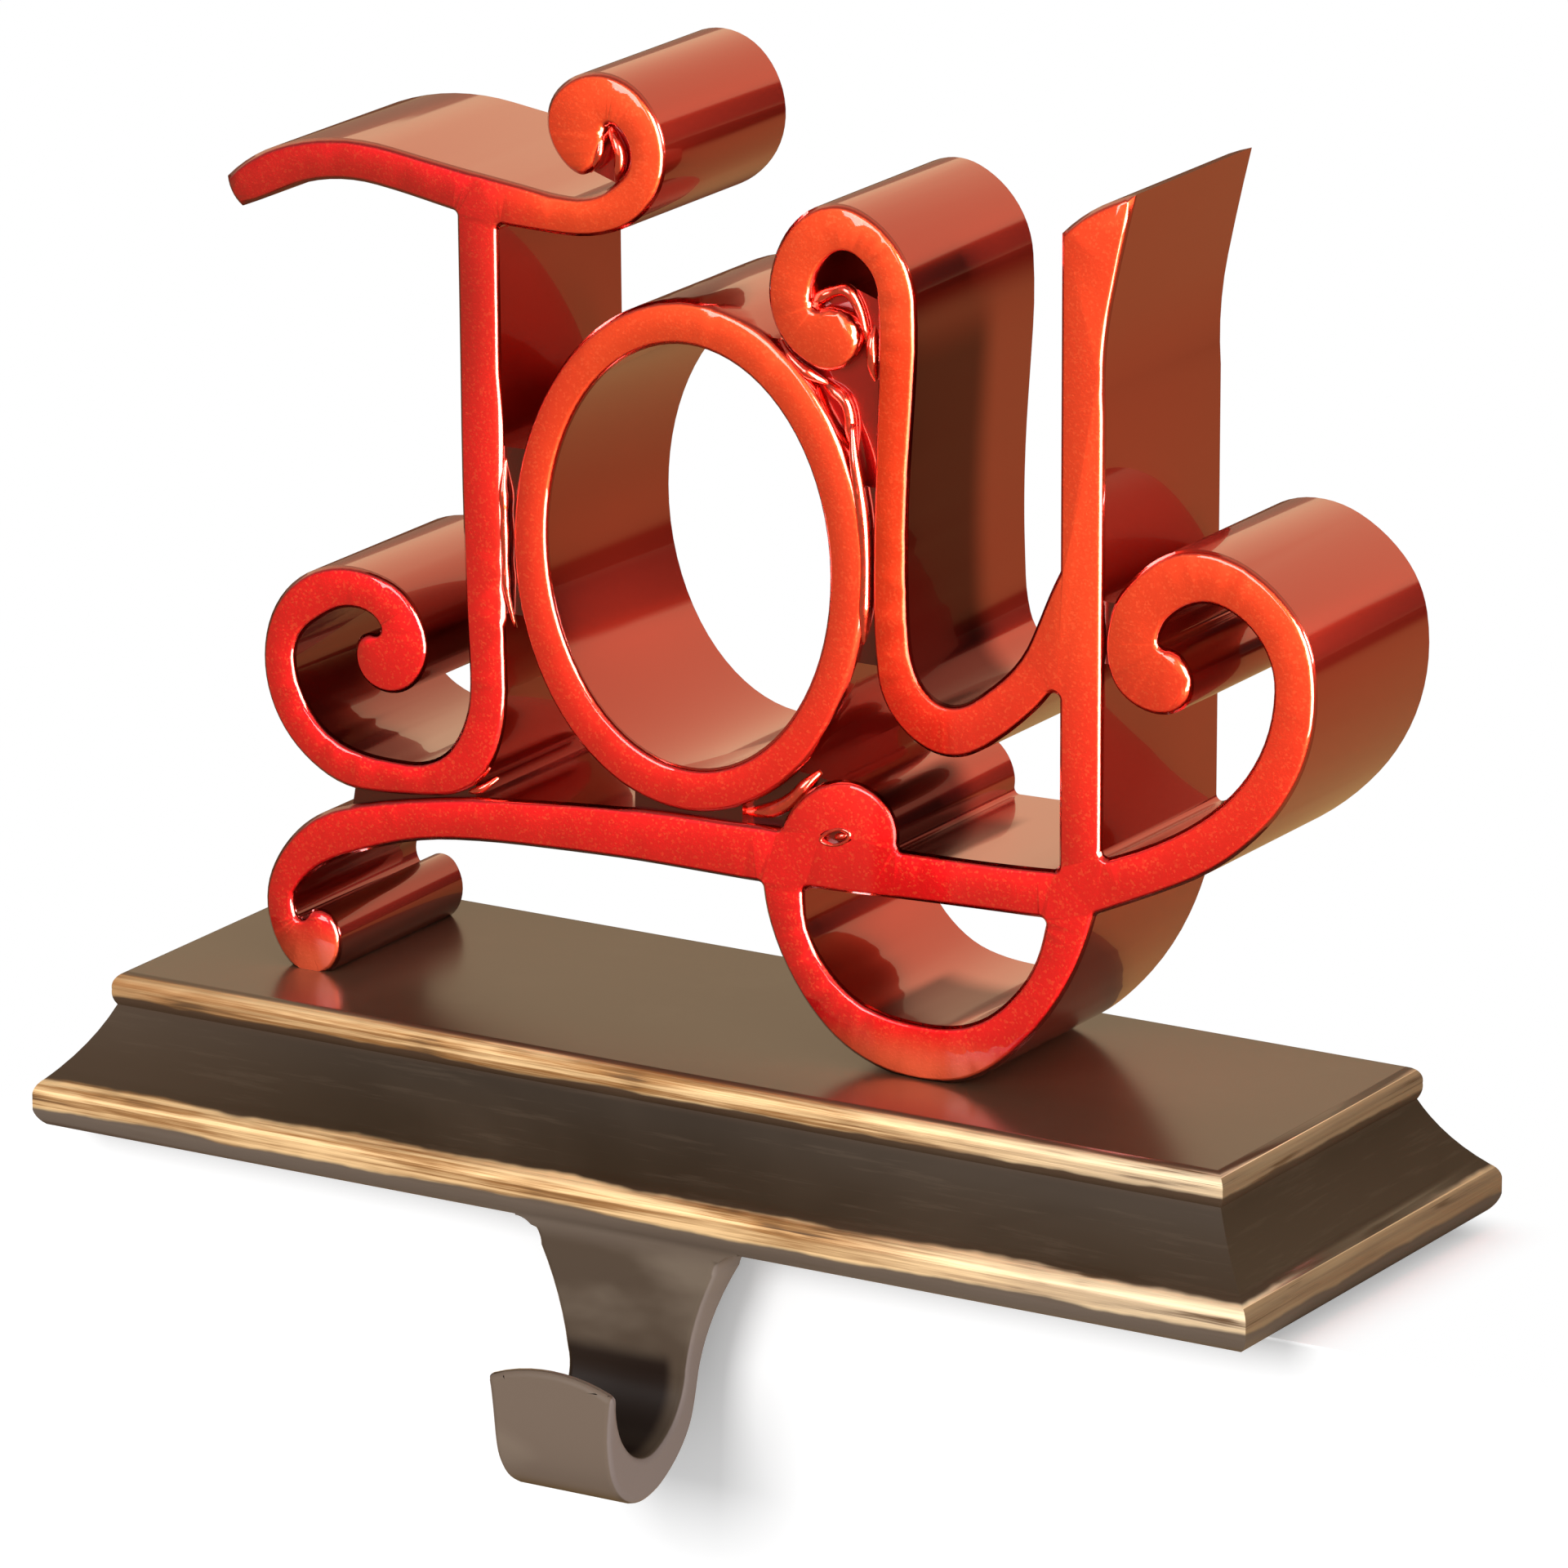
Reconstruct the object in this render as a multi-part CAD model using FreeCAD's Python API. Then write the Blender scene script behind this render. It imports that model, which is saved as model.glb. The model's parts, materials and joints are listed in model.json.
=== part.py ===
import FreeCAD, Part
import math
import os

# Mantel stocking holder.
# A moulded base with its hook cast on stands on the mantel shelf, and a cast word of
# scrolled letters stands on the base, held by two screws from below.
# The origin is the middle of the pad's underside: +X runs along the shelf, -Y faces the
# room, where the hook hangs, and +Z is up.

Vector = FreeCAD.Vector

# Base casting, in millimetres
base_length = 180.0          # over the slab's rounded edge
base_depth = 67.5
base_height = 20.0
slab_crown_height = 3.6      # where the slab's edge stands out furthest
slab_top_height = 6.1        # foot of the cove
slab_foot_inset = 1.3        # how far the underside draws in from the slab's edge
slab_top_inset = 1.1
cove_top_height = 15.6       # the quirk under the bead
cove_top_inset = 8.1
cove_sag = 0.6               # hollow of the cove, measured from its chord
slab_under_bulge = 0.54      # fullness of each rounding, measured from its chord
slab_over_bulge = 0.38
bead_under_bulge = 0.2
bead_over_bulge = 0.6
bead_crown_height = 17.7
bead_crown_inset = 7.6
top_face_inset = 9.3

# Pad under the base
pad_thickness = 2.0
pad_recess_depth = 1.2       # the pad stands proud of the base by the rest
pad_clearance = 0.4          # gap all round between the pad and its recess
pad_corner_radius = 3.0
pad_front_margin = 14.0      # from the slab's front edge, clear of the hook's root
pad_margin = 7.0             # from the slab's other edges

# Hook, cast in one with the base
hook_drop = 31.0             # below the base
hook_reach = 18.5            # how far the lip stands in front of the shank
hook_width = 17.4
hook_root_width = 26.0
hook_root_flare = 3.5        # radius into the underside
hook_taper_height = 22.0     # over which the root narrows to the hook's width
hook_taper_hollow = 0.25     # share of the narrowing left at the taper's middle
hook_face_inset = 0.9        # front of the shank, behind the slab's edge
hook_lip_crown = 1.7         # rise of the lip's upper edge at its middle

# The hook's two sides from the shank round to the lip and back up to the root, as
# (share of the reach, share of the drop) places in front of the shank and under the base
hook_throat_line = [
    (0.0, 0.53), (0.03, 0.66), (0.2, 0.77), (0.475, 0.82), (0.725, 0.735), (0.855, 0.6),
    (0.92, 0.416),
]
hook_outer_line = [
    (1.0, 0.416), (0.99, 0.61), (0.86, 0.906), (0.62, 1.0), (0.14, 0.93), (-0.14, 0.742),
    (-0.205, 0.532), (-0.307, 0.258), (-0.465, 0.0),
]

# Word casting
letter_depth = 30.0
letter_front = -12.0         # front face of the letters, from the base's middle
rim_chamfer = 0.8            # along the edges of the letters' front faces
letter_corner_radius = 0.8   # in the inner corners where strokes join
sharp_turn = 0.3             # radians; a smaller turn between two walls isn't a corner
curve_tolerance = 0.1        # how far the arcs of an outline may leave its drawn curve
probe_distance = 0.2         # from a corner, to feel on which side the material lies
stroke_width = 6.0
web_setback = 2.6            # how far the webs lie behind the letters' faces
seam_setback = 1.3           # the same for the narrow seams between touching letters
oval_height = 66.8           # the round letter, outside
oval_width = 52.0
oval_wall = 5.2              # at its sides
oval_wall_above = 5.8        # at its top and bottom
oval_lean = 3.5              # degrees
eye_length = 4.6             # the eye pressed into the tail's knob
eye_height = 1.9
eye_depth = 0.6

# Screws from below into the feet
screw_diameter = 3.0
screw_length = 16.0
screw_grip = 5.0             # length inside the foot
screw_head_diameter = 5.6
screw_head_height = 2.2
screw_socket_diameter = 2.5
screw_socket_depth = 1.2
screw_hole_clearance = 0.2
screw_end_clearance = 0.5    # past the screw's end in its hole
head_hole_clearance = 1.0

overshoot = 1.0              # how far a cutting shape runs past what it cuts

# Levels and places that follow from the sizes above
pad_proud = pad_thickness - pad_recess_depth
base_floor = pad_proud
base_top = base_floor + base_height
letter_back = letter_front + letter_depth
letter_middle = (letter_front + letter_back) / 2
hook_face = -base_depth / 2 + hook_face_inset

# Strokes of the letters, seen from the front.
# Each station is (across from the base's middle, up from its top, width in strokes).
# A roll is the round end of a scroll: (across, up) places from the stroke's outer side
# right round to the notch where the roll meets the stroke's inner side.
first_letter_bar = [
    (-71.5, 102.5, 0.72), (-67.9, 104.7, 0.90), (-62.2, 107.3, 0.92), (-55.4, 108.7, 0.90),
    (-48.2, 108.5, 0.92), (-41.0, 107.4, 0.94), (-31.2, 106.1, 0.98), (-23.7, 105.6, 0.87),
    (-17.3, 106.0, 0.84), (-12.7, 108.3, 0.92), (-9.8, 112.0, 0.86), (-9.6, 116.0, 0.90),
    (-11.6, 119.4, 0.98),
]
bar_roll = [
    (-12.6, 123.9), (-16.8, 124.6), (-21.2, 123.0), (-24.2, 118.4), (-22.9, 113.5),
    (-18.8, 111.1), (-16.6, 113.8), (-15.9, 118.1),
]
first_letter_stem = [
    (-34.7, 106.5, 1.04), (-34.6, 98.0, 1.03), (-34.2, 72.0, 1.00), (-33.8, 48.0, 0.97),
    (-33.9, 38.3, 0.96), (-36.3, 32.2, 1.00), (-40.6, 29.0, 0.84), (-46.8, 28.0, 0.76),
    (-53.8, 28.0, 0.90), (-59.9, 30.6, 0.88), (-63.9, 35.3, 0.88), (-65.4, 41.0, 0.82),
    (-64.4, 45.9, 0.86), (-61.0, 49.8, 0.98), (-55.7, 52.2, 0.93), (-50.6, 51.7, 0.98),
]
stem_roll = [
    (-47.1, 53.5), (-44.0, 50.2), (-42.6, 45.9), (-44.6, 40.9), (-48.7, 39.0),
    (-52.5, 40.4), (-53.7, 44.0), (-51.8, 46.6), (-49.5, 46.0),
]
ribbon = [
    (14.0, 26.4, 1.20), (4.0, 25.9, 1.23), (-8.4, 25.8, 1.18), (-22.6, 25.1, 1.08),
    (-34.4, 24.2, 0.98), (-45.6, 22.4, 0.92), (-52.6, 20.5, 1.02), (-58.0, 18.4, 1.05),
    (-62.3, 15.3, 0.90), (-64.9, 11.8, 0.77), (-65.7, 8.4, 0.76),
]
foot_roll = [
    (-67.3, 4.7), (-65.4, 1.2), (-61.3, -1.2), (-57.6, 0.6), (-56.5, 4.9), (-58.1, 8.0),
    (-60.2, 8.3), (-62.1, 6.0),
]
cross_ribbon = [
    (13.0, 25.6, 1.00), (24.0, 26.3, 1.10), (33.0, 26.6, 1.06), (42.0, 26.9, 1.06),
    (54.0, 27.6, 1.10),
]
tail_loop = [
    (10.6, 27.0, 1.05), (10.6, 20.5, 1.00), (11.8, 15.6, 0.90), (14.9, 10.6, 0.94),
    (19.4, 6.4, 1.08), (25.2, 4.1, 1.24), (31.0, 3.5, 1.28), (36.8, 4.4, 1.18),
    (41.4, 7.0, 0.98), (46.1, 11.5, 0.88), (49.6, 16.8, 0.88), (51.6, 22.0, 1.00),
    (53.2, 28.0, 1.05),
]
tail_knob = [
    (9.9, 29.6), (12.9, 34.0), (19.3, 37.6), (25.6, 35.4), (27.3, 30.6), (24.5, 26.8),
    (18.5, 25.6), (12.0, 26.4),
]
tail_curl = [
    (52.5, 27.6, 1.05), (60.6, 31.1, 1.05), (69.0, 35.4, 1.02), (76.0, 40.8, 1.03),
    (80.6, 46.6, 1.03), (83.2, 53.3, 1.02), (83.5, 60.3, 1.03), (81.6, 65.6, 1.07),
    (77.1, 69.6, 1.05), (71.8, 71.3, 1.12), (67.2, 70.4, 1.17), (63.4, 67.5, 1.17),
]
curl_roll = [
    (58.2, 66.3), (57.1, 61.3), (58.1, 56.0), (60.9, 53.6), (65.0, 52.8), (68.6, 54.6),
    (69.2, 58.4), (66.8, 61.2), (64.5, 61.2),
]
left_arm = [
    (54.6, 71.5, 0.70), (50.8, 63.0, 0.98), (47.2, 55.5, 0.98), (41.1, 49.4, 1.00),
    (34.4, 46.2, 1.13), (28.4, 49.4, 1.05), (26.3, 57.0, 0.90), (26.0, 68.0, 0.83),
    (26.4, 82.0, 0.85), (26.9, 92.0, 0.92), (26.9, 99.4, 0.95), (25.8, 104.3, 0.93),
    (23.1, 107.4, 0.95), (18.8, 108.9, 1.03), (14.8, 107.1, 1.09), (12.5, 104.0, 1.06),
    (11.4, 100.0, 1.05),
]
arm_roll = [
    (9.0, 95.7), (11.8, 92.3), (16.8, 90.3), (20.6, 92.6), (21.1, 96.6), (18.2, 98.6),
    (14.1, 96.3),
]
stem_foot = (53.6, 28.0)
stem_half_width = 3.1
arm_tip_left = (50.3, 112.2)
arm_tip_right = (60.8, 118.4)
arm_tip_crown = (55.0, 115.9)
arm_right_side = [(58.6, 109.4), (57.2, 102.0), (56.7, 90.0)]
oval_centre = (-3.6, 63.4)
eye_centre = (18.5, 30.1)

# Webs that close the small gaps between neighbouring strokes, as (across, up) corners
deep_webs = [
    [(-21.0, 112.0), (-15.0, 110.0), (-9.5, 112.0), (-9.5, 118.0), (-16.0, 121.0)],
    [(9.0, 91.0), (15.0, 99.0), (19.5, 101.0), (27.0, 98.5), (26.5, 70.0), (21.0, 72.0)],
    [(0.0, 27.0), (1.0, 31.5), (8.5, 37.5), (16.0, 36.5), (14.0, 27.0)],
]
seams = [
    [(-33.0, 52.0), (-33.0, 74.0), (-27.0, 74.0), (-27.0, 52.0)],
    [(20.0, 53.0), (20.0, 76.0), (26.0, 76.0), (26.0, 53.0)],
    [(-12.0, 27.0), (-12.0, 33.0), (4.0, 33.0), (4.0, 27.0)],
    [(-55.0, 22.0), (-54.0, 28.0), (-36.0, 30.0), (-36.0, 24.0)],
    [(55.5, 58.0), (55.5, 66.0), (60.0, 66.0), (60.0, 58.0)],
]

left_foot_screw = -60.8
right_foot_screw = 31.0


def add(*parts):
    """Fuse solids into one and drop the seams between coplanar faces."""
    return parts[0].multiFuse(list(parts[1:])).removeSplitter()


def front_point(across, up):
    """A point of the letters' front face, as high above the origin as above the base."""
    return Vector(across, letter_front, up)


def smooth(points, closed=False):
    """The edges of a smooth curve through the points, as arcs that run into each other."""
    curve = Part.BSplineCurve()
    curve.interpolate(points, PeriodicFlag=closed)
    return [piece.toShape() for piece in curve.toBiArcs(curve_tolerance)]


def face_from(edges):
    return Part.Face(Part.Wire(edges))


def arc(start, middle, end):
    return Part.Arc(start, middle, end).toShape()


def line(start, end):
    return Part.makeLine(start, end)


def stroke_sides(stations):
    """The places along a brush stroke's left and right sides, and its directions."""
    centres = [front_point(across, up) for across, up, _ in stations]
    last = len(centres) - 1
    left, right, directions = [], [], []
    for index, (_, _, width) in enumerate(stations):
        ahead = centres[min(index + 1, last)]
        behind = centres[max(index - 1, 0)]
        direction = (ahead - behind).normalize()
        side = Vector(-direction.z, 0, direction.x) * (width * stroke_width / 2)
        left.append(centres[index] + side)
        right.append(centres[index] - side)
        directions.append(direction)
    return left, right, directions


def cap(left, right, outward, bulge):
    """The rounded end of a stroke between its two sides."""
    return arc(left, (left + right) * 0.5 + outward * bulge, right)


def stroke(stations, start_bulge=1.5, end_bulge=1.5):
    """A brush stroke with a cap at each end."""
    left, right, directions = stroke_sides(stations)
    return face_from([
        *smooth(left),
        cap(left[-1], right[-1], directions[-1], end_bulge),
        *smooth(right[::-1]),
        cap(right[0], left[0], -directions[0], start_bulge),
    ])


def scroll(stations, roll, start_bulge=1.5):
    """A brush stroke whose end rolls up: its outer side runs on round the roll."""
    left, right, directions = stroke_sides(stations)
    turn = directions[-2].cross(directions[-1]).y
    outer, inner = (right, left) if turn < 0 else (left, right)
    roll_points = [front_point(across, up) for across, up in roll]
    notch = roll_points[-1]
    return face_from([
        *smooth(outer + roll_points),
        *smooth([notch] + inner[::-1]),
        cap(inner[0], outer[0], -directions[0], start_bulge),
    ])


def blob(places):
    """A closed smooth outline through the places."""
    return face_from(smooth([front_point(across, up) for across, up in places], closed=True))


def polygon(corners, setback):
    """A flat outline that lies behind the letters' front faces."""
    points = [front_point(across, up) + Vector(0, setback, 0) for across, up in corners]
    return Part.Face(Part.makePolygon(points + [points[0]]))


def is_inner_corner(block, edge):
    """Whether two walls meet sharply at an edge, with the material on its outer side."""
    middle = edge.CenterOfMass
    walls = block.ancestorsOfType(edge, Part.Face)
    if len(walls) < 2:
        return False
    first, second = [wall.normalAt(*wall.Surface.parameter(middle)) for wall in walls]
    if first.getAngle(second) < sharp_turn:
        return False
    return block.isInside(middle + (first - second).normalize() * probe_distance, 1e-6, False)


def cast(*outlines):
    """Give flat outlines the letters' depth, soft inner corners and chamfered front rims."""
    block = add(*[outline.extrude(Vector(0, letter_depth, 0)) for outline in outlines])
    upright = [edge for edge in block.Edges if edge.BoundBox.YLength > letter_depth / 2
               and isinstance(edge.Curve, Part.Line)]
    inner_corners = [edge for edge in upright if is_inner_corner(block, edge)]
    if inner_corners:
        block = block.makeFillet(letter_corner_radius, inner_corners)
    rims = [edge for edge in block.Edges if edge.BoundBox.YMax < letter_front + 1e-3]
    return block.makeChamfer(rim_chamfer, rims).cut(below_the_feet())


def below_the_feet():
    """All that lies under the level where the feet stand on the base."""
    size = 2 * base_length
    return Part.makeBox(size, size, size, Vector(-size / 2, -size / 2, -size))


def web(corners, setback):
    """A flat web between strokes, set back behind their front and back faces."""
    return polygon(corners, setback).extrude(Vector(0, letter_depth - 2 * setback, 0))


def oval():
    """The round letter: a leaning ellipse with an upright one cut from it."""
    centre = front_point(*oval_centre)
    outer = ellipse_edge(centre, oval_height / 2, oval_width / 2, oval_lean)
    inner = ellipse_edge(centre, oval_height / 2 - oval_wall_above, oval_width / 2 - oval_wall, 0.0)
    return face_from([outer]).cut(face_from([inner])).Faces[0]


def ellipse_edge(centre, half_height, half_width, lean):
    """An upright ellipse whose top leans to +X by an angle in degrees."""
    angle = math.radians(lean)
    top = centre + Vector(math.sin(angle), 0, math.cos(angle)) * half_height
    flank = centre + Vector(math.cos(angle), 0, -math.sin(angle)) * half_width
    return Part.Ellipse(top, flank, centre).toShape()


def right_arm():
    """The upright of the last letter: straight on the left, flared to a slanted tip."""
    foot_x, foot_up = stem_foot
    left_foot = front_point(foot_x - stem_half_width, foot_up)
    right_foot = front_point(foot_x + stem_half_width, foot_up)
    tip_left = front_point(*arm_tip_left)
    tip_right = front_point(*arm_tip_right)
    flank = [tip_right] + [front_point(*place) for place in arm_right_side]
    edges = [
        line(left_foot, tip_left),
        arc(tip_left, front_point(*arm_tip_crown), tip_right),
        *smooth(flank),
        line(flank[-1], right_foot),
        line(right_foot, left_foot),
    ]
    return face_from(edges)


def eye():
    """The small almond that is pressed into the knob."""
    centre = front_point(*eye_centre)
    left = centre - Vector(eye_length / 2, 0, 0)
    right = centre + Vector(eye_length / 2, 0, 0)
    lid = Vector(0, 0, eye_height / 2)
    outline = face_from([arc(left, centre + lid, right), arc(right, centre - lid, left)])
    return outline.extrude(Vector(0, eye_depth, 0))


def screw_places():
    """Where the two screws stand, under the middle of each foot."""
    return [Vector(left_foot_screw, letter_middle, 0), Vector(right_foot_screw, letter_middle, 0)]


def upright_cylinder(place, diameter, bottom, top):
    return Part.makeCylinder(diameter / 2, top - bottom, Vector(place.x, place.y, bottom))


def first_letter():
    """The letter with the scrolled bar and the hooked foot."""
    return cast(
        scroll(first_letter_bar, bar_roll, start_bulge=0.5),
        scroll(first_letter_stem, stem_roll),
    )


def last_letter():
    """The forked letter, its curled tail, and the ribbon that runs on from it."""
    return cast(
        scroll(left_arm, arm_roll),
        right_arm(),
        scroll(ribbon, foot_roll),
        stroke(cross_ribbon),
        stroke(tail_loop),
        blob(tail_knob),
        scroll(tail_curl, curl_roll),
    )


def word_casting():
    """All the letters, the ribbon under them and the two feet, cast in one."""
    pieces = [first_letter(), cast(oval()), last_letter()]
    pieces += [web(corners, web_setback) for corners in deep_webs]
    pieces += [web(corners, seam_setback) for corners in seams]
    word = add(*pieces).cut(eye())
    hole = screw_diameter + screw_hole_clearance
    for place in screw_places():
        word = word.cut(upright_cylinder(place, hole, -overshoot, screw_grip + screw_end_clearance))
    word.translate(Vector(0, 0, base_top))
    return word


def bulged(start, end, bulge):
    """An arc up the moulding's right side that stands out from its chord by the bulge."""
    along = (end - start).normalize()
    outward = Vector(along.z, 0, -along.x)
    return arc(start, (start + end) * 0.5 + outward * bulge, end)


def moulding_side(half_width):
    """The moulding's right side, from the underside to the top face, as (out, up) edges."""
    def at(inset, height):
        return Vector(half_width - inset, 0, base_floor + height)

    foot = at(slab_foot_inset, 0)
    crown = at(0, slab_crown_height)
    slab_top = at(slab_top_inset, slab_top_height)
    quirk = at(cove_top_inset, cove_top_height)
    bead_crown = at(bead_crown_inset, bead_crown_height)
    top_edge = at(top_face_inset, base_height)
    return [
        bulged(foot, crown, slab_under_bulge),
        bulged(crown, slab_top, slab_over_bulge),
        bulged(slab_top, quirk, -cove_sag),
        bulged(quirk, bead_crown, bead_under_bulge),
        bulged(bead_crown, top_edge, bead_over_bulge),
    ]


def moulding_face(half_width):
    """The moulding's section right across, in the XZ plane."""
    right = moulding_side(half_width)
    left = [edge.mirror(Vector(0, 0, 0), Vector(1, 0, 0)) for edge in right]
    foot_right = right[0].Vertexes[0].Point
    top_right = right[-1].Vertexes[-1].Point
    foot_left = Vector(-foot_right.x, 0, foot_right.z)
    top_left = Vector(-top_right.x, 0, top_right.z)
    edges = right + left + [line(foot_left, foot_right), line(top_right, top_left)]
    return Part.Face(Part.Wire(Part.__sortEdges__(edges)))


def moulded_block():
    """The base's outside: two runs of the moulding that meet at mitred corners."""
    lengthwise = moulding_face(base_depth / 2)
    lengthwise.rotate(Vector(0, 0, 0), Vector(0, 0, 1), 90)
    lengthwise.translate(Vector(-base_length / 2, 0, 0))
    crosswise = moulding_face(base_length / 2)
    crosswise.translate(Vector(0, -base_depth / 2, 0))
    run = lengthwise.extrude(Vector(base_length, 0, 0))
    cross = crosswise.extrude(Vector(0, base_depth, 0))
    return run.common(cross)


def hook_side():
    """The hook's shape from the side, swept across more than its width."""
    def at(forward, drop):
        return Vector(-base_length, hook_face - forward * hook_reach, base_floor - drop * hook_drop)

    throat = [at(*place) for place in hook_throat_line]
    outer = [at(*place) for place in hook_outer_line]
    into_the_slab = Vector(0, 0, slab_crown_height)
    front_root = at(0, 0) + into_the_slab
    back_root = outer[-1] + into_the_slab
    edges = [
        line(front_root, throat[0]),
        *smooth(throat),
        line(throat[-1], outer[0]),
        *smooth(outer),
        line(outer[-1], back_root),
        line(back_root, front_root),
    ]
    return face_from(edges).extrude(Vector(2 * base_length, 0, 0))


def hook_front():
    """The hook's shape from the front: flared at the root, with a crowned upper lip."""
    half_root = hook_root_width / 2
    half = hook_width / 2
    narrowing = half_root - half
    flare = hook_root_flare
    near = -base_depth

    def at(across, drop):
        return Vector(across, near, base_floor - drop)

    bend = math.cos(math.radians(45)) * flare
    taper_middle = at(half + narrowing * hook_taper_hollow, (hook_taper_height + flare) / 2)
    side = [
        line(at(half_root + flare, -slab_crown_height), at(half_root + flare, 0)),
        arc(at(half_root + flare, 0), at(half_root + flare - bend, flare - bend), at(half_root, flare)),
        arc(at(half_root, flare), taper_middle, at(half, hook_taper_height)),
        line(at(half, hook_taper_height), at(half, hook_drop + overshoot)),
    ]
    other = [edge.mirror(Vector(0, 0, 0), Vector(1, 0, 0)) for edge in side]
    ends = [
        line(at(half, hook_drop + overshoot), at(-half, hook_drop + overshoot)),
        line(at(-half_root - flare, -slab_crown_height), at(half_root + flare, -slab_crown_height)),
    ]
    outline = Part.Wire(Part.__sortEdges__(side + other + ends))
    return Part.Face(outline).extrude(Vector(0, 2 * base_depth, 0))


def lip_crown():
    """What is taken off the lip so that its upper edge arches."""
    half = hook_width / 2
    wide = hook_width
    high = hook_throat_line[-1][1] * hook_drop
    low = high + hook_lip_crown
    above = 0

    def at(across, drop):
        return Vector(across, hook_face - 1.5 * hook_reach, base_floor - drop)

    edges = [
        line(at(-wide, low), at(-half, low)),
        arc(at(-half, low), at(0, high), at(half, low)),
        line(at(half, low), at(wide, low)),
        line(at(wide, low), at(wide, above)),
        line(at(wide, above), at(-wide, above)),
        line(at(-wide, above), at(-wide, low)),
    ]
    return face_from(edges).extrude(Vector(0, hook_reach, 0))


def hook():
    """The hook, with its root running up into the slab."""
    return hook_side().common(hook_front()).cut(lip_crown())


def pad_outline(margin):
    """The pad's shape, drawn in from the slab by the margins and by some more."""
    left = -base_length / 2 + pad_margin + margin
    front = -base_depth / 2 + pad_front_margin + margin
    length = -2 * left
    depth = base_depth / 2 - pad_margin - margin - front
    slab = Part.makeBox(length, depth, pad_thickness, Vector(left, front, 0))
    corners = [edge for edge in slab.Edges if edge.BoundBox.ZLength > pad_thickness / 2]
    return slab.makeFillet(pad_corner_radius - margin, corners)


def head_seat():
    """Level of the screws' heads inside the base."""
    return base_top + screw_grip - screw_length


def base_casting():
    """The moulded base with its hook, the pad's recess and the screws' holes."""
    body = add(moulded_block(), hook())
    recess = pad_outline(-pad_clearance)
    recess.translate(Vector(0, 0, base_floor + pad_recess_depth - pad_thickness))
    body = body.cut(recess)
    hole = screw_diameter + screw_hole_clearance
    head_hole = screw_head_diameter + head_hole_clearance
    for place in screw_places():
        body = body.cut(upright_cylinder(place, hole, 0, base_top + overshoot))
        body = body.cut(upright_cylinder(place, head_hole, 0, head_seat()))
    return body


def foot_screw(place):
    seat = head_seat()
    shank = upright_cylinder(place, screw_diameter, seat, seat + screw_length)
    head = upright_cylinder(place, screw_head_diameter, seat - screw_head_height, seat)
    socket_top = seat - screw_head_height + screw_socket_depth
    socket = upright_cylinder(place, screw_socket_diameter, seat - screw_head_height, socket_top)
    return shank.fuse(head).cut(socket).removeSplitter()


def foot_screws():
    return Part.makeCompound([foot_screw(place) for place in screw_places()])


def non_slip_pad():
    return pad_outline(0)


def main():
    os.makedirs("parts", exist_ok=True)
    nodes = {
        "word_casting": word_casting(),
        "base_casting": base_casting(),
        "foot_screws": foot_screws(),
        "non_slip_pad": non_slip_pad(),
    }
    for name, shape in nodes.items():
        shape.exportStep(os.path.join("parts", name + ".step"))
        box = shape.BoundBox
        print(name, "valid", shape.isValid(), "solids", len(shape.Solids),
              "volume", round(shape.Volume), "box", [round(value, 1) for value in (
                  box.XMin, box.YMin, box.ZMin, box.XMax, box.YMax, box.ZMax)])


main()
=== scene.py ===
# %% [markdown]
# # A mantel stocking holder
# A moulded base stands on the shelf, a hook hangs from it in front of the shelf's edge, and a
# word of scrolled letters stands on top. The frame from the CAD model fixes every size and
# place. This lesson dresses it: candy-red enamel on the letters, dark bronze paint with
# dry-brushed gold on the base, and a studio that shows both.

# %% Load the frame
import json
import math
import random

import bmesh
import bpy
from mathutils import Matrix, Vector

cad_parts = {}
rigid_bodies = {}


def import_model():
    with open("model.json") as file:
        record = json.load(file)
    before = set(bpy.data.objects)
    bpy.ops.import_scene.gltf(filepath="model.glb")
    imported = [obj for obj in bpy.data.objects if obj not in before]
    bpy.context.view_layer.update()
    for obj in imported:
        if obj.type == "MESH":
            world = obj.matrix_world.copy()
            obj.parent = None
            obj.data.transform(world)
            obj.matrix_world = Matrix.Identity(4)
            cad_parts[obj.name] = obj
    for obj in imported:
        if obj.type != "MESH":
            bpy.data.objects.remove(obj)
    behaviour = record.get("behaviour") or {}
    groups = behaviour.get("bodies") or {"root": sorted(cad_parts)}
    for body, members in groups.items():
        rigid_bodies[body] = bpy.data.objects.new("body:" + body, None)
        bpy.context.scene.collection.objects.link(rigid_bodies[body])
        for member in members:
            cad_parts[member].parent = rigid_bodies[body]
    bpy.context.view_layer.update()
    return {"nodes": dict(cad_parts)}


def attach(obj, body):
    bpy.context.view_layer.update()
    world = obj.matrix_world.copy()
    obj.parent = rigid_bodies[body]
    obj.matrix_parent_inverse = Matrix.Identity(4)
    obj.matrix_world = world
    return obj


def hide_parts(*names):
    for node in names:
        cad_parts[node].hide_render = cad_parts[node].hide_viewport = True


for leftover in list(bpy.data.objects):
    bpy.data.objects.remove(leftover)
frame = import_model()
nodes = frame["nodes"]
MM = 0.001
print("nodes:", sorted(nodes))

# %% [markdown]
# ## The camera
# The photograph was taken with a long lens from the front right, a little above. A camera can
# be moved by eye until the picture fits, but here its angles and distance were solved from the
# base's visible corners. They are given as a photographer would set them up: turn, height,
# distance, and how far the lens is shifted right and up from the middle of the base.

# %% Set up the camera
CAMERA_TURN = math.radians(30.959)
CAMERA_HEIGHT = math.radians(16.313)
CAMERA_DISTANCE = 1.57664
AIM_RIGHT = 3.167 * MM
AIM_UP = 49.226 * MM
PAD_PROUD = 0.8 * MM
LENS_MM = 281.25
SENSOR_MM = 36

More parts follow.
